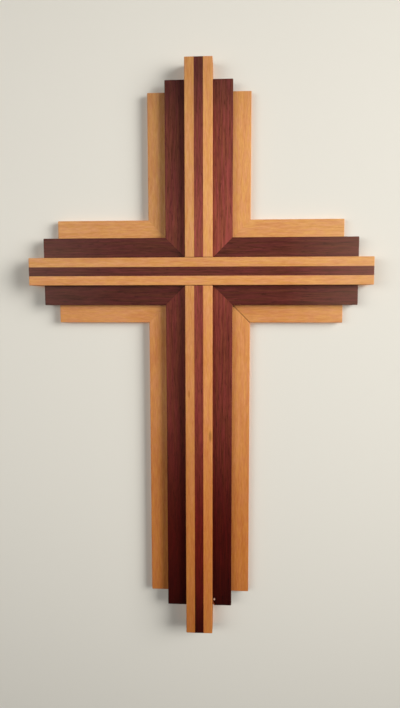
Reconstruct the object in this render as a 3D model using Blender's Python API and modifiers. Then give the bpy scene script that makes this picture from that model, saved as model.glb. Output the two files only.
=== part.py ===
"""Wall cross of two woods, laminated from straight strips and mitred corners.

Lengths are in metres and +Z is up. The back of the cross lies in the plane y = 0 and its front faces -Y.
The origin is on the back, behind the point where the centre lines of the two bars cross.

The cross has an upright and a crossbar, each glued up from a dark core between two light edges. They cross
in a half lap, so the crossbar runs unbroken over the front. Each of the four corners between them is
filled by an inner dark L and an outer light L, and each L is a stile and a rail that meet in a mitre.
The layers get thinner outwards, and their ends step back. Every edge that shows in front is eased.
"""

import math
from collections import namedtuple

import bmesh
import bpy
from mathutils import Vector

# Lengths of the two bars, from the point where their centre lines cross
UPRIGHT_ABOVE = 0.2130
UPRIGHT_BELOW = 0.3966
CROSSBAR_REACH = 0.1795

# Widths of the strips, seen on the front
CORE_WIDTH = 0.0091
EDGE_WIDTH = 0.0095
INNER_WIDTH = 0.0204
OUTER_WIDTH = 0.0185

# Thickness of each layer, from the flat back to its own front
BAR_THICKNESS = 0.01905
INNER_THICKNESS = 0.0127
OUTER_THICKNESS = 0.00635

# How far the end of each layer stops short of the end of the layer inside it
INNER_SETBACK_TOP = 0.0198
INNER_SETBACK_BOTTOM = 0.0294
INNER_SETBACK_ARM = 0.0146
OUTER_SETBACK_TOP = 0.0102
OUTER_SETBACK_BOTTOM = 0.0137
OUTER_SETBACK_ARM = 0.0142

# The corner knocked off the inner stile at the lower right, beside the upright: how far the break reaches
# across the front, up the stile and back towards the wall
CHIP_WIDTH = 0.0023
CHIP_HEIGHT = 0.0065
CHIP_DEPTH = 0.0022

# How much the sandpaper takes off the edges that show in front, and the facets of that rounding
EASED_EDGE = 0.0007
EASED_FACETS = 2

# Room for the glue between neighbours, and how far a cutter runs past what it cuts
GLUE_LINE = 0.0003
CUTTER_MARGIN = 0.002

# Places that follow from the sizes above, measured outwards from the centre lines
HALF_CORE = CORE_WIDTH / 2
HALF_BAR = HALF_CORE + GLUE_LINE + EDGE_WIDTH
INNER_START = HALF_BAR + GLUE_LINE
OUTER_START = INNER_START + INNER_WIDTH + GLUE_LINE
LAP_PLANE = BAR_THICKNESS / 2

# A layer of the corners: where it starts, outwards from the centre lines, and how wide and thick it is
Layer = namedtuple("Layer", "name start width thickness")
INNER = Layer("inner", INNER_START, INNER_WIDTH, INNER_THICKNESS)
OUTER = Layer("outer", OUTER_START, OUTER_WIDTH, OUTER_THICKNESS)

COLLECTION_NAME = "wall_cross"

# The directions that a board's faces can look
FRONT = Vector((0, -1, 0))
TO_LEFT, TO_RIGHT = Vector((-1, 0, 0)), Vector((1, 0, 0))
DOWN, UP = Vector((0, 0, -1)), Vector((0, 0, 1))

# Sides of the upright and of the crossbar, as the sign of x and of z
LEFT, RIGHT = -1, 1
LOWER, UPPER = -1, 1
SIDE_NAMES = {LEFT: "left", RIGHT: "right"}
LEVEL_NAMES = {LOWER: "lower", UPPER: "upper"}


def clear_scene():
    """Removes every object that is already in the scene."""
    for item in list(bpy.data.objects):
        bpy.data.objects.remove(item, do_unlink=True)


def new_collection(name):
    """Adds a collection to the scene."""
    collection = bpy.data.collections.new(name)
    bpy.context.scene.collection.children.link(collection)
    return collection


def oiled_wood(name, colour, roughness):
    """A wood under a thin coat of oil.

    name: the material's name
    colour: linear red, green and blue
    roughness: how matt the oiled surface is, from 0 to 1
    """
    material = bpy.data.materials.new(name)
    material.use_nodes = True
    shader = material.node_tree.nodes["Principled BSDF"]
    shader.inputs["Base Color"].default_value = (*colour, 1.0)
    shader.inputs["Roughness"].default_value = roughness
    shader.inputs["Metallic"].default_value = 0.0
    material.diffuse_color = (*colour, 1.0)
    return material


def saw(shape, point, normal):
    """Takes away what lies on the normal's side of a plane, and closes the cut.

    shape: the board's bmesh
    point: a point on the plane
    normal: the plane's normal, towards the waste
    """
    whole = shape.verts[:] + shape.edges[:] + shape.faces[:]
    cut = bmesh.ops.bisect_plane(shape, geom=whole, plane_co=point, plane_no=normal, clear_outer=True)
    rim = [item for item in cut["geom_cut"] if isinstance(item, bmesh.types.BMEdge)]
    bmesh.ops.edgeloop_fill(shape, edges=rim)


def mark_shown_edges(shape, shown):
    """Marks for easing each edge between two faces that both show.

    shape: the board's bmesh
    shown: the directions of the faces that no neighbour covers
    """
    weight = shape.edges.layers.float.new("bevel_weight_edge")
    shape.normal_update()
    for edge in shape.edges:
        covered = [face for face in edge.link_faces if all(face.normal.dot(way) < 0.99 for way in shown)]
        edge[weight] = 0.0 if covered else 1.0


def board(name, collection, low, high, cuts=(), shown=()):
    """Adds a straight board that fills the box between two corners, less what is sawn off.

    name: the object's name
    collection: where the object goes
    low, high: opposite corners of the box
    cuts: pairs of a point and a normal, as saw() takes them
    shown: the directions of the faces that show, whose shared edges are eased
    """
    low, high = Vector(low), Vector(high)
    centre = (low + high) / 2
    shape = bmesh.new()
    bmesh.ops.create_cube(shape, size=1.0)
    bmesh.ops.scale(shape, vec=high - low, verts=shape.verts)
    for point, normal in cuts:
        saw(shape, Vector(point) - centre, Vector(normal).normalized())
    bmesh.ops.recalc_face_normals(shape, faces=shape.faces)
    mark_shown_edges(shape, shown)
    mesh = bpy.data.meshes.new(name)
    shape.to_mesh(mesh)
    shape.free()
    piece = bpy.data.objects.new(name, mesh)
    piece.location = centre
    collection.objects.link(piece)
    if shown:
        ease_edges(piece)
    return piece


def ease_edges(piece):
    """Rounds a board's marked edges, as a pass with sandpaper does."""
    eased = piece.modifiers.new("eased_edges", "BEVEL")
    eased.limit_method = "WEIGHT"
    eased.width = EASED_EDGE
    eased.segments = EASED_FACETS


def finish(piece, material, frame):
    """Gives a piece its wood and hangs it on the frame empty."""
    piece.data.materials.append(material)
    piece.parent = frame


def lap_cutter(name, collection, near, far):
    """A block that clears the crossing between two depths, measured forwards from the back."""
    reach = HALF_BAR + GLUE_LINE
    cutter = board(name, collection, (-reach, -far, -reach), (reach, -near, reach))
    cutter.hide_render = True
    cutter.display_type = "WIRE"
    return cutter


def cut_lap(strip, cutter):
    """Cuts one half of the half lap out of a strip."""
    lap = strip.modifiers.new("half_lap", "BOOLEAN")
    lap.operation = "DIFFERENCE"
    lap.solver = "EXACT"
    lap.object = cutter


def strips_across(bar, first_side, last_side):
    """The three strips of a bar, each as its name, its two sides and the side faces of it that show.

    bar: "upright" or "crossbar"
    first_side, last_side: a name and a direction for the side towards minus and for the side towards plus
    """
    edge = HALF_CORE + GLUE_LINE
    first_name, first_way = first_side
    last_name, last_way = last_side
    return (
        (f"{bar}_edge_{first_name}", -HALF_BAR, -edge, (first_way,)),
        (f"{bar}_core", -HALF_CORE, HALF_CORE, ()),
        (f"{bar}_edge_{last_name}", edge, HALF_BAR, (last_way,)),
    )


def make_upright(parts, cutter, light, dark, frame):
    """The upright: three strips from top to bottom, cut away in front where the crossbar passes."""
    for name, near, far, sides in strips_across("upright", ("left", TO_LEFT), ("right", TO_RIGHT)):
        low = (near, -BAR_THICKNESS, -UPRIGHT_BELOW)
        high = (far, 0.0, UPRIGHT_ABOVE)
        strip = board(name, parts, low, high, shown=(FRONT, UP, DOWN, *sides))
        cut_lap(strip, cutter)
        finish(strip, light if sides else dark, frame)


def make_crossbar(parts, cutter, light, dark, frame):
    """The crossbar: three strips from side to side, cut away behind where the upright passes."""
    for name, near, far, sides in strips_across("crossbar", ("lower", DOWN), ("upper", UP)):
        low = (-CROSSBAR_REACH, -BAR_THICKNESS, near)
        high = (CROSSBAR_REACH, 0.0, far)
        strip = board(name, parts, low, high, shown=(FRONT, TO_LEFT, TO_RIGHT, *sides))
        cut_lap(strip, cutter)
        finish(strip, light if sides else dark, frame)


def mitred_pair(parts, layer, side, level, arm_end, post_end, chip=()):
    """Adds the stile and the rail of one L, which meet in a mitre beside the crossing.

    layer: the layer that the L belongs to
    side, level: the signs of x and z of the corner that the L fills
    arm_end, post_end: how far the rail and the stile reach from the centre lines
    chip: cuts in the stile, beside the mitre
    """
    place = f"{LEVEL_NAMES[level]}_{SIDE_NAMES[side]}"
    half_glue = GLUE_LINE / math.sqrt(2)
    near, far = layer.start, layer.start + layer.width
    mitre_x = (side * (near + half_glue), 0.0, level * near)
    mitre_z = (side * near, 0.0, level * (near + half_glue))
    stile_x = sorted((side * near, side * far))
    stile_z = sorted((level * near, level * post_end))
    rail_x = sorted((side * near, side * arm_end))
    rail_z = sorted((level * near, level * far))
    shown = (FRONT, TO_RIGHT * side, UP * level)
    stile = board(
        f"{layer.name}_stile_{place}",
        parts,
        (stile_x[0], -layer.thickness, stile_z[0]),
        (stile_x[1], 0.0, stile_z[1]),
        ((mitre_z, (side, 0.0, -level)), *chip),
        shown,
    )
    rail = board(
        f"{layer.name}_rail_{place}",
        parts,
        (rail_x[0], -layer.thickness, rail_z[0]),
        (rail_x[1], 0.0, rail_z[1]),
        ((mitre_x, (-side, 0.0, level)),),
        shown,
    )
    return stile, rail


def chip_cut(side, post_end):
    """The cut that knocks the front corner off a stile's lower end, on the side of the upright.

    It passes through one point on each of the three edges that meet in that corner.
    """
    corner = Vector((side * INNER_START, -INNER_THICKNESS, -post_end))
    across = corner + TO_RIGHT * side * CHIP_WIDTH
    above = corner + UP * CHIP_HEIGHT
    behind = corner - FRONT * CHIP_DEPTH
    normal = (above - across).cross(behind - across)
    if normal.dot(corner - across) < 0:
        normal.negate()
    return across, normal


def make_corners(parts, light, dark, frame):
    """The inner and the outer L in each of the four corners of the cross."""
    bar_ends = {UPPER: UPRIGHT_ABOVE, LOWER: UPRIGHT_BELOW}
    inner_setbacks = {UPPER: INNER_SETBACK_TOP, LOWER: INNER_SETBACK_BOTTOM}
    outer_setbacks = {UPPER: OUTER_SETBACK_TOP, LOWER: OUTER_SETBACK_BOTTOM}
    inner_arm = CROSSBAR_REACH - INNER_SETBACK_ARM
    outer_arm = inner_arm - OUTER_SETBACK_ARM
    for level in (UPPER, LOWER):
        inner_post = bar_ends[level] - inner_setbacks[level]
        outer_post = inner_post - outer_setbacks[level]
        for side in (LEFT, RIGHT):
            chipped = side == RIGHT and level == LOWER
            chip = (chip_cut(side, inner_post),) if chipped else ()
            for piece in mitred_pair(parts, INNER, side, level, inner_arm, inner_post, chip):
                finish(piece, dark, frame)
            for piece in mitred_pair(parts, OUTER, side, level, outer_arm, outer_post):
                finish(piece, light, frame)


def main():
    """Builds the whole cross."""
    clear_scene()
    parts = new_collection(COLLECTION_NAME)
    cutters = new_collection("cutters")
    light = oiled_wood("oiled_cherry", (0.617, 0.270, 0.095), 0.45)
    dark = oiled_wood("oiled_padauk", (0.156, 0.037, 0.024), 0.40)

    frame = bpy.data.objects.new("wall_cross_frame", None)
    parts.objects.link(frame)

    half_glue = GLUE_LINE / 2
    past_front = BAR_THICKNESS + CUTTER_MARGIN
    front_lap = lap_cutter("front_lap_cutter", cutters, LAP_PLANE - half_glue, past_front)
    back_lap = lap_cutter("back_lap_cutter", cutters, -CUTTER_MARGIN, LAP_PLANE + half_glue)
    make_upright(parts, front_lap, light, dark, frame)
    make_crossbar(parts, back_lap, light, dark, frame)
    make_corners(parts, light, dark, frame)
    bpy.context.view_layer.update()


main()
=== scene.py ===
"""Wall cross of two oiled woods, laminated from straight strips and mitred corners, before a pale wall.

Every strip of the cross is a board of its own: a block of the CAD node's size that is mitred or lapped,
eased along its shown edges and oiled. Lengths are in metres, the wall lies behind the plane y = 0, the
front faces -Y and +Z is up.
"""

import logging
import math
import random
from dataclasses import dataclass, field
from enum import Enum

import bmesh
import bpy
from mathutils import Euler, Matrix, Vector

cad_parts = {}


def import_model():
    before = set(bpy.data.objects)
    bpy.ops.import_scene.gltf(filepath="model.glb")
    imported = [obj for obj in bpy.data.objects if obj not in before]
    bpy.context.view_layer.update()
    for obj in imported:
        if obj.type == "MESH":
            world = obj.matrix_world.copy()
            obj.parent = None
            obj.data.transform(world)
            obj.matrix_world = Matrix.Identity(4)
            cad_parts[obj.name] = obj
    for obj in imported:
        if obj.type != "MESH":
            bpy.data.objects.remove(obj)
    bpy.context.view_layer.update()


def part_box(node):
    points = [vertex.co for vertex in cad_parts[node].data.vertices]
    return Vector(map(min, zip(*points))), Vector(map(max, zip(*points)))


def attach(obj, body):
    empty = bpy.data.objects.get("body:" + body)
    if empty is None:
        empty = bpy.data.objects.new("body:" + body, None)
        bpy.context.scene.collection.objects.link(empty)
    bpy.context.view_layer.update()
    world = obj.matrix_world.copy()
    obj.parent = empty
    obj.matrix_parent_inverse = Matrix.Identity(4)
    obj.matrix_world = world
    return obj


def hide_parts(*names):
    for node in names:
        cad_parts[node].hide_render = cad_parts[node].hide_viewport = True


log = logging.getLogger("wall_cross")

MM = 0.001
BODY = "root"

# The sRGB curve: straight near black, and a power above the knee
SRGB_KNEE = 0.04045
SRGB_SLOPE = 12.92
SRGB_OFFSET = 0.055
SRGB_POWER = 2.4

# The directions that a board's faces can look, and the point where the bars cross
FRONT = Vector((0.0, -1.0, 0.0))
TO_LEFT, TO_RIGHT = Vector((-1.0, 0.0, 0.0)), Vector((1.0, 0.0, 0.0))
DOWN, UP = Vector((0.0, 0.0, -1.0)), Vector((0.0, 0.0, 1.0))
CROSSING = Vector((0.0, 0.0, 0.0))

# The least cosine between a face's normal and a direction for it to look just that way, and mainly that way
JUST_THAT_WAY = 0.99
MAINLY_THAT_WAY = 0.5

# Names of the attributes that hold a board's place in its log, its finish (its tone with painted sheen and
# shade, polish and rawness) and, until then, its torn faces
GRAIN_PLACE = "grain_place"
FINISH = "finish"
TORN = "torn"

# How far out from the upright's centre line the painted sheen on the arms begins, and where it is strongest
ARM_END_SHEEN_START = 90 * MM
ARM_END_SHEEN_END = 178 * MM

# Where a board may come from in its log: beside and above the pith in millimetres, and along it in metres
BESIDE_PITH = (25, 70)
ABOVE_PITH = (-60, 60)
ALONG_LOG = (0, 3)


class Grain(Enum):
    """The way that a board's fibres run, as the axes across, through and along the board."""

    UPRIGHT = (0, 1, 2)
    LEVEL = (2, 1, 0)


class Level(Enum):
    """The side of the crossbar that a board lies on, as the sign of z."""

    LOWER = -1
    UPPER = 1


def to_linear(code: str) -> tuple[float, float, float, float]:
    """Turns an sRGB hex colour into linear red, green, blue and alpha.

    Args:
        code: the colour as six hex digits, with or without a leading mark

    Returns:
        the linear colour with alpha 1
    """
    digits = code.lstrip("#")
    channels = [int(digits[place:place + 2], 16) / 255 for place in (0, 2, 4)]
    linear = [
        value / SRGB_SLOPE
        if value <= SRGB_KNEE
        else ((value + SRGB_OFFSET) / (1 + SRGB_OFFSET)) ** SRGB_POWER
        for value in channels
    ]
    return (*linear, 1.0)


def add_node(
    tree: bpy.types.NodeTree, kind: str, inputs: dict | None = None, **settings: object
) -> bpy.types.Node:
    """Adds a node with its settings, and sets or links its inputs.

    Args:
        tree: the node tree that the node goes into
        kind: the node's type
        inputs: a value or an output socket for each input, by the input's name or number
        settings: properties of the node itself

    Returns:
        the new node
    """
    node = tree.nodes.new(kind)
    for name, value in settings.items():
        setattr(node, name, value)
    for name, value in (inputs or {}).items():
        if isinstance(value, bpy.types.NodeSocket):
            tree.links.new(value, node.inputs[name])
        else:
            node.inputs[name].default_value = value
    return node


def set_ramp(node: bpy.types.Node, stops: tuple[tuple[float, str], ...]) -> None:
    """Gives a colour ramp its stops.

    Args:
        node: the colour ramp node
        stops: the place and the hex colour of each stop, in order
    """
    elements = node.color_ramp.elements
    while len(elements) < len(stops):
        elements.new(1.0)
    for element, (place, colour) in zip(elements, stops):
        element.position = place
        element.color = to_linear(colour)


@dataclass(frozen=True)
class Mark:
    """A single mark in the wood, such as a streak, a pin knot or a pale speck: a soft oval on the front."""

    place: Vector
    half_width: float
    half_height: float
    colour: str
    depth: float


@dataclass(frozen=True)
class OiledWood:
    """A planed and sanded wood under thin oil, with its figure following each board's own place in the log.

    The growth rings give stripes on a board's face and lines across its end. Fibres and open pores are
    drawn a little coarser than real ones, about a millimetre wide, so that they show in the render. Each
    range is of noise values, from where its pattern begins to where it is full.
    """

    name: str
    warm_band: str
    deep_band: str
    band_width: float
    band_run: float
    ring_width: float
    ring_run: float
    fibre_width: float
    fibre_run: float
    fibre_share: float
    darkest_figure: str
    lightest_figure: float
    pore_width: float
    pore_run: float
    pore_depth: float
    # Painted sheen and shade: the tint at each height on the wall, lightest round the crossing
    sheen_and_shade_by_height: tuple[tuple[float, str], ...]
    # Painted sheen towards the ends of the arms: its colour, and how strong it is on the left and on the
    # right
    arm_end_sheen_colour: str
    fading_left: float
    fading_right: float
    raw_wood: str
    roughness: float
    specular: float
    marks: tuple[Mark, ...] = ()
    band_range: tuple[float, float] = (0.38, 0.62)
    figure_range: tuple[float, float] = (0.32, 0.68)
    pore_range: tuple[float, float] = (0.58, 0.74)
    sheen_range: tuple[float, float] = (0.3, 0.7)
    sheen_swing: float = 0.05
    fine_detail: float = 3.0
    plain_detail: float = 1.0
    strand_roughness: float = 0.6
    ring_detail: float = 2.0
    ring_roughness: float = 0.55
    wander_run: float = 60 * MM
    wander_reach: float = 5 * MM
    mark_core: float = 0.3
    sawn_roughness: float = 0.85
    relief_strength: float = 0.25
    relief_depth: float = 0.15 * MM
    ior: float = 1.5

    def material(self) -> bpy.types.Material:
        """Builds the wood's material, or returns it where it is already there.

        Returns:
            the material, which reads the two attributes of each board
        """
        ready = bpy.data.materials.get(self.name)
        if ready:
            return ready
        material = bpy.data.materials.new(self.name)
        material.use_nodes = True
        tree = material.node_tree
        shader = tree.nodes["Principled BSDF"]
        place = add_node(tree, "ShaderNodeAttribute", attribute_name=GRAIN_PLACE)
        finish = add_node(tree, "ShaderNodeAttribute", attribute_name=FINISH)
        worked = add_node(tree, "ShaderNodeSeparateXYZ", {0: finish.outputs["Vector"]})
        rings = self.rings(tree, place)
        fibres = self.strands(tree, place, self.fibre_width, self.fibre_run, self.fine_detail)
        figure = add_node(
            tree,
            "ShaderNodeMix",
            {0: self.fibre_share, 2: rings.outputs[0], 3: fibres.outputs[0]},
            data_type="FLOAT",
        )
        pores = self.open_pores(tree, place)
        board_colour = self.board_colour(tree, place, figure, pores, worked)
        # Painted sheen and shade by height and towards the arm ends, then the wood's own marks
        shaded_by_height = self.marked(tree, self.arm_end_sheen(tree, self.shaded_by_height(tree, board_colour)))
        bared = add_node(
            tree,
            "ShaderNodeMix",
            {0: worked.outputs["Z"], 6: shaded_by_height, 7: to_linear(self.raw_wood)},
            data_type="RGBA",
        )
        tree.links.new(bared.outputs[2], shader.inputs["Base Color"])
        tree.links.new(self.polished(tree, figure, worked), shader.inputs["Roughness"])
        tree.links.new(self.raised(tree, fibres, pores), shader.inputs["Normal"])
        shader.inputs["Specular IOR Level"].default_value = self.specular
        shader.inputs["IOR"].default_value = self.ior
        return material

    def board_colour(
        self,
        tree: bpy.types.NodeTree,
        place: bpy.types.Node,
        figure: bpy.types.Node,
        pores: bpy.types.Node,
        worked: bpy.types.Node,
    ) -> bpy.types.Node:
        """Mixes the wood's colour from its bands, figure and pores and the board's tone with its painted
        sheen and shade.

        Args:
            tree: the material's nodes
            place: the node that gives the place in the log
            figure: the node of the rings and fibres together
            pores: the node of the open pores
            worked: the node that gives the board's tone with painted sheen and shade, its polish and its
                rawness

        Returns:
            the node whose first output is the colour
        """
        bands = self.strands(tree, place, self.band_width, self.band_run, self.plain_detail)
        start, full = self.band_range
        band_share = add_node(tree, "ShaderNodeMapRange", {0: bands.outputs[0], 1: start, 2: full})
        hue = add_node(
            tree,
            "ShaderNodeMix",
            {0: band_share.outputs[0], 6: to_linear(self.warm_band), 7: to_linear(self.deep_band)},
            data_type="RGBA",
        )
        start, full = self.figure_range
        figure_share = add_node(tree, "ShaderNodeMapRange", {0: figure.outputs[0], 1: start, 2: full})
        lightest = (self.lightest_figure, self.lightest_figure, self.lightest_figure, 1.0)
        shade = add_node(
            tree,
            "ShaderNodeMix",
            {0: figure_share.outputs[0], 6: to_linear(self.darkest_figure), 7: lightest},
            data_type="RGBA",
        )
        figured = add_node(
            tree, "ShaderNodeVectorMath", {0: hue.outputs[2], 1: shade.outputs[2]}, operation="MULTIPLY"
        )
        tone = add_node(
            tree, "ShaderNodeMath", {0: pores.outputs[0], 1: worked.outputs["X"]}, operation="MULTIPLY"
        )
        return add_node(
            tree, "ShaderNodeVectorMath", {0: figured.outputs[0], 3: tone.outputs[0]}, operation="SCALE"
        )

    def polished(
        self, tree: bpy.types.NodeTree, figure: bpy.types.Node, worked: bpy.types.Node
    ) -> bpy.types.NodeSocket:
        """Leaves the sides and tears rough, and gives the front a sheen that varies with its figure.

        Args:
            tree: the material's nodes
            figure: the node of the rings and fibres together
            worked: the node that gives the board's tone with painted sheen and shade, its polish and its
                rawness

        Returns:
            the roughness
        """
        start, full = self.sheen_range
        dull, bright = self.roughness + self.sheen_swing, self.roughness - self.sheen_swing
        uneven = add_node(
            tree, "ShaderNodeMapRange", {0: figure.outputs[0], 1: start, 2: full, 3: dull, 4: bright}
        )
        either = add_node(
            tree,
            "ShaderNodeMix",
            {0: worked.outputs["Y"], 2: self.sawn_roughness, 3: uneven.outputs[0]},
            data_type="FLOAT",
        )
        return either.outputs[0]

    def raised(
        self, tree: bpy.types.NodeTree, fibres: bpy.types.Node, pores: bpy.types.Node
    ) -> bpy.types.NodeSocket:
        """Raises the fibres and sinks the pores by a trace.

        Args:
            tree: the material's nodes
            fibres: the noise node of the fibres
            pores: the node of the open pores

        Returns:
            the normal
        """
        height = add_node(
            tree, "ShaderNodeMath", {0: fibres.outputs[0], 1: pores.outputs[0]}, operation="ADD"
        )
        bump = add_node(
            tree,
            "ShaderNodeBump",
            {"Strength": self.relief_strength, "Distance": self.relief_depth, "Height": height.outputs[0]},
        )
        return bump.outputs[0]

    def open_pores(self, tree: bpy.types.NodeTree, place: bpy.types.Node) -> bpy.types.Node:
        """Adds the open pores, which show as short dark strands.

        Args:
            tree: the material's nodes
            place: the node that gives the place in the log

        Returns:
            the node that is 1 beside the pores and less in them
        """
        strands = self.strands(tree, place, self.pore_width, self.pore_run, self.plain_detail)
        start, full = self.pore_range
        return add_node(
            tree,
            "ShaderNodeMapRange",
            {0: strands.outputs[0], 1: start, 2: full, 3: 1.0, 4: 1.0 - self.pore_depth},
            interpolation_type="SMOOTHSTEP",
        )

    def rings(self, tree: bpy.types.NodeTree, place: bpy.types.Node) -> bpy.types.Node:
        """Adds the growth rings, which wander a little on their way along the log.

        Args:
            tree: the material's nodes
            place: the node that gives the place in the log

        Returns:
            the noise node of the ring pattern
        """
        wander = add_node(
            tree,
            "ShaderNodeTexNoise",
            {"Vector": place.outputs["Vector"], "Scale": 1 / self.wander_run, "Detail": self.plain_detail},
        )
        swing = add_node(
            tree, "ShaderNodeMath", {0: wander.outputs[0], 1: self.wander_reach}, operation="MULTIPLY"
        )
        flat = add_node(
            tree,
            "ShaderNodeVectorMath",
            {0: place.outputs["Vector"], 1: (1.0, 1.0, 0.0)},
            operation="MULTIPLY",
        )
        radius = add_node(tree, "ShaderNodeVectorMath", {0: flat.outputs[0]}, operation="LENGTH")
        wavy = add_node(tree, "ShaderNodeMath", {0: radius.outputs["Value"], 1: swing.outputs[0]})
        apart = add_node(tree, "ShaderNodeSeparateXYZ", {0: place.outputs["Vector"]})
        across = add_node(
            tree, "ShaderNodeMath", {0: wavy.outputs[0], 1: 1 / self.ring_width}, operation="MULTIPLY"
        )
        along = add_node(
            tree, "ShaderNodeMath", {0: apart.outputs["Z"], 1: 1 / self.ring_run}, operation="MULTIPLY"
        )
        joined = add_node(tree, "ShaderNodeCombineXYZ", {0: across.outputs[0], 1: along.outputs[0]})
        detail, roughness = self.ring_detail, self.ring_roughness
        return add_node(
            tree,
            "ShaderNodeTexNoise",
            {"Vector": joined.outputs[0], "Scale": 1.0, "Detail": detail, "Roughness": roughness},
            noise_dimensions="2D",
        )

    def strands(
        self, tree: bpy.types.NodeTree, place: bpy.types.Node, width: float, run: float, detail: float
    ) -> bpy.types.Node:
        """Adds a pattern of strands that lie along the grain.

        Args:
            tree: the material's nodes
            place: the node that gives the place in the log
            width: how wide a strand is
            run: how long a strand is
            detail: how much finer detail the pattern has

        Returns:
            the noise node of the strands
        """
        stretched = add_node(
            tree,
            "ShaderNodeMapping",
            {"Vector": place.outputs["Vector"], "Scale": (1 / width, 1 / width, 1 / run)},
        )
        roughness = self.strand_roughness
        return add_node(
            tree,
            "ShaderNodeTexNoise",
            {"Vector": stretched.outputs[0], "Scale": 1.0, "Detail": detail, "Roughness": roughness},
        )

    def shaded_by_height(self, tree: bpy.types.NodeTree, colour: bpy.types.Node) -> bpy.types.NodeSocket:
        """Tints the wood by its height on the wall, as painted sheen and shade: lightest round the
        crossing, where the fibres catch the light, and darker towards the foot and the head.

        Args:
            tree: the material's nodes
            colour: the node whose first output is the wood's colour

        Returns:
            the tinted colour
        """
        foot, head = self.sheen_and_shade_by_height[0][0], self.sheen_and_shade_by_height[-1][0]
        where = add_node(tree, "ShaderNodeTexCoord")
        apart = add_node(tree, "ShaderNodeSeparateXYZ", {0: where.outputs["Object"]})
        rise = add_node(tree, "ShaderNodeMapRange", {0: apart.outputs["Z"], 1: foot, 2: head})
        tint = add_node(tree, "ShaderNodeValToRGB", {0: rise.outputs[0]})
        tint.color_ramp.interpolation = "EASE"
        set_ramp(tint, tuple(((height - foot) / (head - foot), code) for height, code in self.sheen_and_shade_by_height))
        tinted = add_node(
            tree,
            "ShaderNodeMix",
            {0: 1.0, 6: colour.outputs[0], 7: tint.outputs[0]},
            data_type="RGBA",
            blend_type="MULTIPLY",
        )
        return tinted.outputs[2]

    def arm_end_sheen(self, tree: bpy.types.NodeTree, colour: bpy.types.NodeSocket) -> bpy.types.NodeSocket:
        """Pales the wood towards the ends of both arms, as a painted sheen of the light from the sides,
        stronger on the right arm.

        Args:
            tree: the material's nodes
            colour: the colour before

        Returns:
            the paler colour
        """
        where = add_node(tree, "ShaderNodeTexCoord")
        apart = add_node(tree, "ShaderNodeSeparateXYZ", {0: where.outputs["Object"]})
        left, right = (
            add_node(
                tree,
                "ShaderNodeMapRange",
                {0: apart.outputs["X"], 1: side * ARM_END_SHEEN_START, 2: side * ARM_END_SHEEN_END, 4: most},
            )
            for side, most in ((-1, self.fading_left), (1, self.fading_right))
        )
        share = add_node(tree, "ShaderNodeMath", {0: left.outputs[0], 1: right.outputs[0]})
        paler = add_node(
            tree,
            "ShaderNodeMix",
            {0: share.outputs[0], 6: colour, 7: to_linear(self.arm_end_sheen_colour)},
            data_type="RGBA",
        )
        return paler.outputs[2]

    def marked(self, tree: bpy.types.NodeTree, colour: bpy.types.NodeSocket) -> bpy.types.NodeSocket:
        """Adds the wood's single marks.

        Args:
            tree: the material's nodes
            colour: the colour without them

        Returns:
            the colour with them
        """
        where = add_node(tree, "ShaderNodeTexCoord")
        for mark in self.marks:
            size = Vector((1 / mark.half_width, 0.0, 1 / mark.half_height))
            spot = add_node(
                tree,
                "ShaderNodeMapping",
                {"Vector": where.outputs["Object"], "Location": -mark.place * size, "Scale": size},
            )
            away = add_node(tree, "ShaderNodeVectorMath", {0: spot.outputs[0]}, operation="LENGTH")
            share = add_node(
                tree,
                "ShaderNodeMapRange",
                {0: away.outputs["Value"], 1: self.mark_core, 2: 1.0, 3: mark.depth, 4: 0.0},
                interpolation_type="SMOOTHSTEP",
            )
            stained = add_node(
                tree,
                "ShaderNodeMix",
                {0: share.outputs[0], 6: colour, 7: to_linear(mark.colour)},
                data_type="RGBA",
            )
            colour = stained.outputs[2]
        return colour


# Cherry, planed and oiled: honey to peach, with a close mottled grain and a low sheen
OILED_CHERRY = OiledWood(
    name="oiled_cherry",
    warm_band="#DEA463",
    deep_band="#DC9E6A",
    band_width=2.6 * MM,
    band_run=14 * MM,
    ring_width=3.2 * MM,
    ring_run=90 * MM,
    fibre_width=1.2 * MM,
    fibre_run=9 * MM,
    fibre_share=0.65,
    darkest_figure="#F4DEC4",
    lightest_figure=1.13,
    pore_width=0.9 * MM,
    pore_run=3.2 * MM,
    pore_depth=0.06,
    # Painted sheen and shade by height, lightest round the crossing
    sheen_and_shade_by_height=(
        (-390 * MM, "#DABD9C"),
        (-300 * MM, "#E4C9A8"),
        (-100 * MM, "#F9EDE5"),
        (40 * MM, "#FFFFFF"),
        (130 * MM, "#FFFFFF"),
        (210 * MM, "#EBE9E7"),
    ),
    # Painted sheen towards the ends of the arms
    arm_end_sheen_colour="#F9E6B4",
    fading_left=0.03,
    fading_right=0.10,
    raw_wood="#D8B48C",
    roughness=0.48,
    specular=0.22,
    marks=(
        Mark(Vector((-10.5, -19.05, -128.9)) * MM, 2.0 * MM, 5.5 * MM, "#A5602A", 0.60),
        Mark(Vector((12.1, -19.05, -174.6)) * MM, 2.2 * MM, 8.5 * MM, "#82581F", 0.55),
    ),
)

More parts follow.
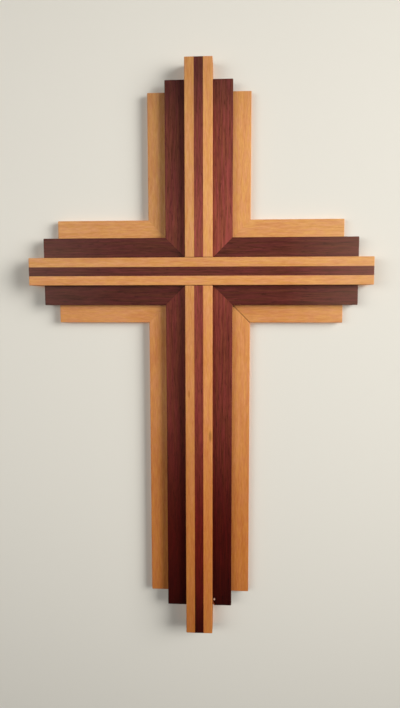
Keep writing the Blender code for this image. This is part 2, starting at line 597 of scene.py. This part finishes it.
# Padauk, planed and oiled: brown red with purple and black brown stripes, open pores and a low sheen
OILED_PADAUK = OiledWood(
    name="oiled_padauk",
    warm_band="#8C4B37",
    deep_band="#8D433C",
    band_width=2.2 * MM,
    band_run=36 * MM,
    ring_width=2.0 * MM,
    ring_run=160 * MM,
    fibre_width=1.1 * MM,
    fibre_run=18 * MM,
    fibre_share=0.65,
    darkest_figure="#C6B0B2",
    lightest_figure=1.40,
    pore_width=1.0 * MM,
    pore_run=7 * MM,
    pore_depth=0.35,
    # Painted sheen and shade by height, lightest round the crossing
    sheen_and_shade_by_height=(
        (-392 * MM, "#633B37"),
        (-340 * MM, "#9A5C57"),
        (-300 * MM, "#AC6660"),
        (-100 * MM, "#E7D7D3"),
        (40 * MM, "#FFFFFF"),
        (130 * MM, "#DEDEDE"),
        (210 * MM, "#A6AFBA"),
    ),
    # Painted sheen towards the ends of the arms
    arm_end_sheen_colour="#D3BFA8",
    fading_left=0.036,
    fading_right=0.085,
    raw_wood="#DDA68E",
    roughness=0.45,
    specular=0.13,
    marks=(Mark(Vector((16.3, -12.7, -360.1)) * MM, 1.3 * MM, 1.8 * MM, "#E6C2B2", 0.9),),
)


@dataclass(frozen=True)
class WallPaint:
    """Matt wall paint, rolled: an even pale warm white with hardly any sheen."""

    name: str = "matt_wall_paint"
    colour: str = "#E4E1D9"
    roughness: float = 0.9
    specular: float = 0.2

    def material(self) -> bpy.types.Material:
        """Builds the paint, which is clear from behind so that the back of the cross can be looked at.

        Returns:
            the material
        """
        material = bpy.data.materials.new(self.name)
        material.use_nodes = True
        tree = material.node_tree
        shader = tree.nodes["Principled BSDF"]
        shader.inputs["Base Color"].default_value = to_linear(self.colour)
        shader.inputs["Roughness"].default_value = self.roughness
        shader.inputs["Specular IOR Level"].default_value = self.specular
        side = add_node(tree, "ShaderNodeNewGeometry")
        clear = add_node(tree, "ShaderNodeBsdfTransparent")
        either = add_node(
            tree,
            "ShaderNodeMixShader",
            {0: side.outputs["Backfacing"], 1: shader.outputs[0], 2: clear.outputs[0]},
        )
        tree.links.new(either.outputs[0], tree.nodes["Material Output"].inputs["Surface"])
        return material


def select_only(piece: bpy.types.Object) -> None:
    """Selects one object and makes it the active one.

    Args:
        piece: the object
    """
    bpy.ops.object.select_all(action="DESELECT")
    piece.select_set(True)
    bpy.context.view_layer.objects.active = piece


@dataclass
class Board:
    """One strip of wood, from the block to the oiled piece.

    A board starts as a block that fills its CAD node's box and reaches across the glue line on its glued
    sides. It is then mitred or lapped, and its shown edges are eased. Its tone pair says how light its wood
    is at its lower or left end and at its other end: partly its own tone and partly painted sheen and
    shade.
    """

    node: str
    wood: OiledWood
    grain: Grain
    shown: tuple[Vector, ...]
    glued: tuple[tuple[Vector, float], ...] = ()
    tones_and_sheen: tuple[float, float] = (1.0, 1.0)
    eased_edge: float = 0.7 * MM
    eased_facets: int = 3
    smooth_angle: float = 40.0
    side_tone: float = 0.65
    torn_depth: float = 0.35 * MM
    torn_cuts: int = 6
    torn_seed: int = 7
    piece: bpy.types.Object | None = field(default=None, repr=False)

    def block(self) -> None:
        """Adds the block and applies its place and size to its mesh."""
        low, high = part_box(self.node)
        for way, reach in self.glued:
            for axis in range(3):
                if way[axis] > 0:
                    high[axis] += reach
                elif way[axis] < 0:
                    low[axis] -= reach
        bpy.ops.object.select_all(action="DESELECT")
        bpy.ops.mesh.primitive_cube_add(size=1.0, location=(low + high) / 2, scale=high - low)
        self.piece = bpy.context.object
        self.piece.name = f"{self.node}_board"
        self.piece.data.name = self.piece.name
        bpy.ops.object.transform_apply(location=True, rotation=True, scale=True)

    def saw(self, point: Vector, waste: Vector) -> None:
        """Saws the board along a plane and takes the waste away.

        Args:
            point: a point on the plane
            waste: the plane's normal, towards what is taken away
        """
        select_only(self.piece)
        bpy.ops.object.mode_set(mode="EDIT")
        bpy.ops.mesh.select_all(action="SELECT")
        bpy.ops.mesh.bisect(plane_co=point, plane_no=waste, use_fill=True, clear_outer=True)
        bpy.ops.object.mode_set(mode="OBJECT")

    def tear(self, point: Vector, waste: Vector, raw: float) -> None:
        """Breaks a corner off the board along a rough plane.

        Args:
            point: a point on the plane
            waste: the plane's normal, towards what breaks off
            raw: how much of the raw wood's colour the break shows
        """
        self.saw(point, waste)
        bpy.ops.object.mode_set(mode="EDIT")
        bpy.ops.mesh.select_mode(type="FACE")
        bpy.ops.mesh.select_all(action="DESELECT")
        shape = bmesh.from_edit_mesh(self.piece.data)
        shape.normal_update()
        for face in shape.faces:
            face.select_set(face.normal.dot(waste) > JUST_THAT_WAY)
        bmesh.update_edit_mesh(self.piece.data)
        bpy.ops.mesh.subdivide(number_cuts=self.torn_cuts)
        shape = bmesh.from_edit_mesh(self.piece.data)
        torn = shape.faces.layers.float.new(TORN)
        rough = [face for face in shape.faces if face.select]
        for face in rough:
            face[torn] = raw
        bpy.ops.mesh.select_mode(type="VERT")
        bpy.ops.mesh.select_all(action="DESELECT")
        for vertex in shape.verts:
            vertex.select_set(all(face in rough for face in vertex.link_faces))
        bmesh.update_edit_mesh(self.piece.data)
        bpy.ops.transform.vertex_random(offset=self.torn_depth, seed=self.torn_seed)
        bpy.ops.object.mode_set(mode="OBJECT")

    def ease(self) -> None:
        """Rounds each edge between two shown faces, as a pass with sandpaper does."""
        select_only(self.piece)
        bpy.ops.object.mode_set(mode="EDIT")
        bpy.ops.mesh.select_mode(type="EDGE")
        bpy.ops.mesh.select_all(action="DESELECT")
        shape = bmesh.from_edit_mesh(self.piece.data)
        shape.normal_update()
        for edge in shape.edges:
            seen = [
                face
                for face in edge.link_faces
                if any(face.normal.dot(way) > JUST_THAT_WAY for way in self.shown)
            ]
            edge.select_set(len(seen) == 2)
        bmesh.update_edit_mesh(self.piece.data)
        bpy.ops.mesh.bevel(offset=self.eased_edge, segments=self.eased_facets, affect="EDGES")
        bpy.ops.object.mode_set(mode="OBJECT")

    def lap(self, near: float, far: float, reach: float) -> None:
        """Cuts one half of the half lap out of the board at the crossing.

        Args:
            near: where the cut starts, measured forwards from the back of the cross
            far: where it ends
            reach: how far it goes to each side of the other bar's centre line
        """
        bpy.ops.object.select_all(action="DESELECT")
        centre = Vector((0.0, -(near + far) / 2, 0.0))
        size = Vector((2 * reach, far - near, 2 * reach))
        bpy.ops.mesh.primitive_cube_add(size=1.0, location=centre, scale=size)
        cutter = bpy.context.object
        select_only(self.piece)
        cut = self.piece.modifiers.new("half_lap", "BOOLEAN")
        cut.operation = "DIFFERENCE"
        cut.solver = "EXACT"
        cut.object = cutter
        bpy.ops.object.modifier_apply(modifier=cut.name)
        bpy.data.objects.remove(cutter, do_unlink=True)

    def mirrored(self, node: str, way: Vector, tones_and_sheen: tuple[float, float]) -> "Board":
        """Copies the board to the other side of a centre line, with a mesh of its own.

        Args:
            node: the CAD node that the copy stands for
            way: the direction along which the copy is mirrored
            tones_and_sheen: how light the copy's wood is at its lower or left end, and at its other end,
                with painted sheen and shade

        Returns:
            the mirrored board
        """
        select_only(self.piece)
        bpy.ops.object.duplicate(linked=False)
        copy = bpy.context.object
        copy.name = f"{node}_board"
        copy.data.name = copy.name
        turned = Vector(-1.0 if part else 1.0 for part in way)
        bpy.ops.object.mode_set(mode="EDIT")
        bpy.ops.mesh.select_all(action="SELECT")
        bpy.ops.transform.resize(value=turned, center_override=(0.0, 0.0, 0.0))
        bpy.ops.mesh.normals_make_consistent(inside=False)
        bpy.ops.object.mode_set(mode="OBJECT")
        return Board(node, self.wood, self.grain, self.shown, self.glued, tones_and_sheen, piece=copy)

    def oil(self) -> None:
        """Gives the board its shading, its wood and its place in the log, puts it on the body and hides its
        node.
        """
        select_only(self.piece)
        bpy.ops.object.shade_smooth_by_angle(angle=math.radians(self.smooth_angle))
        even = self.piece.modifiers.new("even_faces", "WEIGHTED_NORMAL")
        even.keep_sharp = True
        bpy.ops.object.modifier_apply(modifier=even.name)
        self.piece.data.materials.clear()
        self.piece.data.materials.append(self.wood.material())
        self.mark_grain()
        self.mark_finish()
        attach(self.piece, BODY)
        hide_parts(self.node)
        log.info("%s: %d faces", self.piece.name, len(self.piece.data.polygons))

    def mark_grain(self) -> None:
        """Writes each point's place in the log, for the wood's pattern."""
        mesh = self.piece.data
        chance = random.Random(self.node)
        beside = chance.uniform(*BESIDE_PITH) * MM
        above = chance.uniform(*ABOVE_PITH) * MM
        shift = Vector((beside, above, chance.uniform(*ALONG_LOG)))
        places = []
        for vertex in mesh.vertices:
            places.extend(vertex.co[axis] + shift[slot] for slot, axis in enumerate(self.grain.value))
        mesh.attributes.new(GRAIN_PLACE, "FLOAT_VECTOR", "POINT").data.foreach_set("vector", places)

    def mark_finish(self) -> None:
        """Writes how light the wood is, with the board's painted sheen and shade, how well it is polished
        and how raw it is, face by face.
        """
        mesh = self.piece.data
        along = self.grain.value[2]
        low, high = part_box(self.node)
        torn = mesh.attributes.get(TORN)
        finish = []
        for face in mesh.polygons:
            forward = face.normal.dot(FRONT)
            worked = 1.0 if abs(forward) > MAINLY_THAT_WAY else self.side_tone
            raw = torn.data[face.index].value if torn else 0.0
            for number in face.vertices:
                # The board's tone pair holds painted sheen and shade as well as the wood's own tone
                share = (mesh.vertices[number].co[along] - low[along]) / (high[along] - low[along])
                tone = self.tones_and_sheen[0] + share * (self.tones_and_sheen[1] - self.tones_and_sheen[0])
                finish.append(tone * worked)
                finish.append(1.0 if forward > MAINLY_THAT_WAY and not raw else 0.0)
                finish.append(raw)
        if torn:
            mesh.attributes.remove(torn)
        mesh.attributes.new(FINISH, "FLOAT_VECTOR", "CORNER").data.foreach_set("vector", finish)


@dataclass
class Upright:
    """The upright: a dark core between two light edges, cut away in front where the crossbar passes."""

    strip_overlap: float = 0.14 * MM
    lap_floor: float = 9.52 * MM
    lap_front: float = 21.0 * MM
    lap_reach: float = 14.72 * MM
    # How light each strip is at its lower and upper end: its own tone with painted sheen and shade, darker
    # on the left
    core_tones_and_sheen: tuple[float, float] = (1.08, 1.05)
    right_tones: tuple[float, float] = (1.0, 1.0)
    left_tones: tuple[float, float] = (0.88, 0.88)

    def build(self) -> list[Board]:
        """Builds the three strips.

        Returns:
            the boards, finished
        """
        core = Board(
            "upright_core",
            OILED_PADAUK,
            Grain.UPRIGHT,
            (FRONT, UP, DOWN),
            ((TO_LEFT, self.strip_overlap), (TO_RIGHT, self.strip_overlap)),
            self.core_tones_and_sheen,
        )
        right = Board(
            "upright_edge_right",
            OILED_CHERRY,
            Grain.UPRIGHT,
            (FRONT, UP, DOWN, TO_RIGHT),
            ((TO_LEFT, self.strip_overlap),),
            self.right_tones,
        )
        for board in (core, right):
            board.block()
            board.ease()
            board.lap(self.lap_floor, self.lap_front, self.lap_reach)
        left = right.mirrored("upright_edge_left", TO_RIGHT, self.left_tones)
        boards = [core, right, left]
        for board in boards:
            board.oil()
        return boards


@dataclass
class Crossbar:
    """The crossbar: a dark core between two light edges, whole in front and cut away behind."""

    strip_overlap: float = 0.14 * MM
    lap_back: float = -2.0 * MM
    lap_ceiling: float = 9.53 * MM
    lap_reach: float = 14.50 * MM
    # How light each strip is at its left and right end: its own tone with painted sheen and shade, darker
    # to the left
    core_tones_and_sheen: tuple[float, float] = (0.36, 0.61)
    upper_tones_and_sheen: tuple[float, float] = (0.85, 0.99)
    lower_tones_and_sheen: tuple[float, float] = (0.92, 0.99)

    def build(self) -> list[Board]:
        """Builds the three strips.

        Returns:
            the boards, finished
        """
        core = Board(
            "crossbar_core",
            OILED_PADAUK,
            Grain.LEVEL,
            (FRONT, TO_LEFT, TO_RIGHT),
            ((DOWN, self.strip_overlap), (UP, self.strip_overlap)),
            self.core_tones_and_sheen,
        )
        upper = Board(
            "crossbar_edge_upper",
            OILED_CHERRY,
            Grain.LEVEL,
            (FRONT, TO_LEFT, TO_RIGHT, UP),
            ((DOWN, self.strip_overlap),),
            self.upper_tones_and_sheen,
        )
        for board in (core, upper):
            board.block()
            board.ease()
            board.lap(self.lap_back, self.lap_ceiling, self.lap_reach)
        lower = upper.mirrored("crossbar_edge_lower", UP, self.lower_tones_and_sheen)
        boards = [core, upper, lower]
        for board in boards:
            board.oil()
        return boards


@dataclass
class CornerLayer:
    """One layer of the four corners: an L of a stile and a rail in each, which meet in a mitre."""

    name: str
    wood: OiledWood
    # How light each board is at its two ends: its own tone with painted sheen and shade
    stile_tones: dict[str, tuple[float, float]]
    rail_tones: dict[str, tuple[float, float]]
    glue_overlap: float = 0.28 * MM
    mitre_reach: float = 1.12 * MM
    chip_width: float = 2.3 * MM
    chip_height: float = 6.5 * MM
    chip_depth: float = 2.2 * MM
    chip_raw: float = 0.9
    groove_width: float = 0.30 * MM
    groove_depth: float = 1.3 * MM
    chipped: bool = False
    opened: bool = False

    def build(self) -> list[Board]:
        """Builds the eight boards of the layer.

        Returns:
            the boards, finished
        """
        boards = []
        for level in Level:
            for board in (self.stile(level), self.rail(level)):
                twin = self.twin(board)
                if self.chipped and board.node == "inner_stile_lower_right":
                    self.chip(board)
                if self.opened and level is Level.LOWER:
                    self.open_mitre(board)
                boards += [board, twin]
        for board in boards:
            board.oil()
        return boards

    def stile(self, level: Level) -> Board:
        """Builds the stile on the right of the upright, above or below the crossbar.

        Args:
            level: the side of the crossbar

        Returns:
            the board, mitred and eased
        """
        node = f"{self.name}_stile_{level.name.lower()}_right"
        outwards = UP * level.value
        glued = ((TO_LEFT, self.glue_overlap), (-outwards, self.mitre_reach))
        board = Board(
            node, self.wood, Grain.UPRIGHT, (FRONT, TO_RIGHT, outwards), glued, self.stile_tones[node]
        )
        board.block()
        board.saw(CROSSING, TO_RIGHT - outwards)
        board.ease()
        return board

    def rail(self, level: Level) -> Board:
        """Builds the rail on the right of the upright, above or below the crossbar.

        Args:
            level: the side of the crossbar

        Returns:
            the board, mitred and eased
        """
        node = f"{self.name}_rail_{level.name.lower()}_right"
        outwards = UP * level.value
        glued = ((TO_LEFT, self.mitre_reach), (-outwards, self.glue_overlap))
        board = Board(
            node, self.wood, Grain.LEVEL, (FRONT, TO_RIGHT, outwards), glued, self.rail_tones[node]
        )
        board.block()
        board.saw(CROSSING, outwards - TO_RIGHT)
        board.ease()
        return board

    def twin(self, board: Board) -> Board:
        """Copies a board from the right of the upright to its left.

        Args:
            board: the board on the right

        Returns:
            the board on the left
        """
        node = board.node.replace("right", "left")
        tones_and_sheen = self.stile_tones if "stile" in node else self.rail_tones
        return board.mirrored(node, TO_RIGHT, tones_and_sheen[node])

    def chip(self, board: Board) -> None:
        """Knocks the front corner off the stile's lower end, on the side of the upright.

        Args:
            board: the stile that is chipped
        """
        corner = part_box(board.node)[0]
        across = corner + TO_RIGHT * self.chip_width
        above = corner + UP * self.chip_height
        behind = corner - FRONT * self.chip_depth
        normal = (above - across).cross(behind - across).normalized()
        if normal.dot(corner - across) < 0:
            normal.negate()
        board.tear(across, normal, self.chip_raw)

    def open_mitre(self, board: Board) -> None:
        """Takes the front edge off the mitre, which leaves a dark groove where the joint is a little open.

        Args:
            board: the stile or rail below the crossbar on the right
        """
        way = TO_RIGHT + UP if "stile" in board.node else TO_LEFT + DOWN
        slant = way.normalized() * self.groove_depth + FRONT * self.groove_width
        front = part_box(board.node)[0].y
        board.saw(Vector((0.0, front + self.groove_depth, 0.0)), slant.normalized())


@dataclass
class Studio:
    """The camera, the lights and the wall that the cross is seen before."""

    camera_place: tuple[float, float, float] = (0.03451, -0.61439, -0.02636)
    camera_turn: tuple[float, float, float] = (84.264, 0.094, 3.187)
    lens: float = 28.98
    sensor: float = 36.0
    wall_gap: float = 2.0 * MM
    wall_size: float = 1.8
    key_place: tuple[float, float, float] = (1.65, -1.07, 0.38)
    key_size: tuple[float, float] = (1.25, 1.35)
    key_power: float = 10.15
    fill_place: tuple[float, float, float] = (-1.17, -1.61, 0.17)
    fill_size: tuple[float, float] = (2.2, 0.8)
    fill_power: float = 4.15
    light_colour: str = "#FFFDF8"
    light_spread: float = 70.0
    back_place: tuple[float, float, float] = (-0.9, 1.8, 0.8)
    back_size: tuple[float, float] = (1.6, 1.6)
    back_power: float = 9.0
    room_top: str = "#E0E0E2"
    room_top_rise: float = 0.6
    room_bottom: str = "#5A5754"
    room_bottom_rise: float = -0.7
    room_light: float = 0.13
    behind_all: str = "#E3E1DD"

    def build(self) -> None:
        """Sets up everything round the cross."""
        self.add_camera()
        self.add_wall()
        self.add_light("key_light", self.key_place, self.key_size, self.key_power)
        self.add_light("fill_light", self.fill_place, self.fill_size, self.fill_power)
        self.add_light("back_light", self.back_place, self.back_size, self.back_power)
        self.light_room()

    def add_camera(self) -> None:
        """Adds the camera where the photograph was taken from."""
        data = bpy.data.cameras.new("camera")
        data.lens = self.lens
        data.sensor_width = self.sensor
        data.sensor_fit = "AUTO"
        camera = bpy.data.objects.new("camera", data)
        camera.location = self.camera_place
        camera.rotation_euler = Euler([math.radians(angle) for angle in self.camera_turn], "XYZ")
        bpy.context.scene.collection.objects.link(camera)
        bpy.context.scene.camera = camera

    def add_wall(self) -> None:
        """Adds the wall close behind the back of the cross. It lets the light behind it reach that back."""
        bpy.ops.object.select_all(action="DESELECT")
        place = (0.0, self.wall_gap, 0.0)
        turned = (math.radians(90), 0.0, 0.0)
        bpy.ops.mesh.primitive_plane_add(size=self.wall_size, location=place, rotation=turned)
        wall = bpy.context.object
        wall.name = "wall"
        wall.data.materials.append(WallPaint().material())
        wall.visible_shadow = False

    def add_light(
        self, name: str, place: tuple[float, float, float], size: tuple[float, float], power: float
    ) -> None:
        """Adds a soft rectangular light that faces the crossing.

        Args:
            name: the light's name
            place: where it stands
            size: its width and height
            power: its power in watts
        """
        data = bpy.data.lights.new(name, "AREA")
        data.shape = "RECTANGLE"
        data.size, data.size_y = size
        data.energy = power
        data.color = to_linear(self.light_colour)[:3]
        data.spread = math.radians(self.light_spread)
        light = bpy.data.objects.new(name, data)
        light.location = place
        light.rotation_euler = (-Vector(place)).to_track_quat("-Z", "Y").to_euler()
        light.visible_camera = False
        bpy.context.scene.collection.objects.link(light)

    def light_room(self) -> None:
        """Lights the room softly from all sides, most from above, before a plain pale ground."""
        world = bpy.data.worlds.new("room")
        world.use_nodes = True
        bpy.context.scene.world = world
        tree = world.node_tree
        where = add_node(tree, "ShaderNodeTexCoord")
        apart = add_node(tree, "ShaderNodeSeparateXYZ", {0: where.outputs["Generated"]})
        rise = add_node(
            tree,
            "ShaderNodeMapRange",
            {0: apart.outputs["Z"], 1: self.room_bottom_rise, 2: self.room_top_rise},
            interpolation_type="SMOOTHSTEP",
        )
        glow = add_node(
            tree,
            "ShaderNodeMix",
            {0: rise.outputs[0], 6: to_linear(self.room_bottom), 7: to_linear(self.room_top)},
            data_type="RGBA",
        )
        lit = tree.nodes["Background"]
        tree.links.new(glow.outputs[2], lit.inputs["Color"])
        lit.inputs["Strength"].default_value = self.room_light
        plain = add_node(tree, "ShaderNodeBackground", {"Color": to_linear(self.behind_all)})
        seen = add_node(tree, "ShaderNodeLightPath")
        either = add_node(
            tree,
            "ShaderNodeMixShader",
            {0: seen.outputs["Is Camera Ray"], 1: lit.outputs[0], 2: plain.outputs[0]},
        )
        tree.links.new(either.outputs[0], tree.nodes["World Output"].inputs["Surface"])
        bpy.context.scene.view_settings.view_transform = "Standard"


# How light each corner board's wood is, at its lower or left end and at its other end: its own tone with
# painted sheen and shade, mostly lighter on the right, and on the inner stiles, whose fibres catch the side
# light, than on the inner rails
INNER_STILE_TONES_AND_SHEEN = {
    "inner_stile_upper_left": (0.70, 0.69),
    "inner_stile_upper_right": (1.07, 1.15),
    "inner_stile_lower_left": (0.48, 0.80),
    "inner_stile_lower_right": (0.45, 0.93),
}
INNER_RAIL_TONES_AND_SHEEN = {
    "inner_rail_upper_left": (0.35, 0.37),
    "inner_rail_upper_right": (0.42, 0.44),
    "inner_rail_lower_left": (0.34, 0.43),
    "inner_rail_lower_right": (0.43, 0.48),
}
OUTER_STILE_TONES_AND_SHEEN = {
    "outer_stile_upper_left": (0.79, 0.74),
    "outer_stile_upper_right": (0.98, 0.98),
    "outer_stile_lower_left": (0.87, 0.87),
    "outer_stile_lower_right": (0.96, 0.96),
}
OUTER_RAIL_TONES_AND_SHEEN = {
    "outer_rail_upper_left": (0.86, 0.87),
    "outer_rail_upper_right": (0.93, 0.93),
    "outer_rail_lower_left": (0.87, 0.87),
    "outer_rail_lower_right": (0.88, 0.94),
}


def main() -> None:
    """Builds the room and the cross, and reports each piece."""
    logging.basicConfig(level=logging.INFO, format="%(name)s: %(message)s")
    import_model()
    Studio().build()
    boards = Upright().build() + Crossbar().build()
    boards += CornerLayer("inner", OILED_PADAUK, INNER_STILE_TONES_AND_SHEEN, INNER_RAIL_TONES_AND_SHEEN, chipped=True).build()
    boards += CornerLayer("outer", OILED_CHERRY, OUTER_STILE_TONES_AND_SHEEN, OUTER_RAIL_TONES_AND_SHEEN, opened=True).build()
    log.info("%d boards in all", len(boards))


if __name__ == "__main__":
    main()
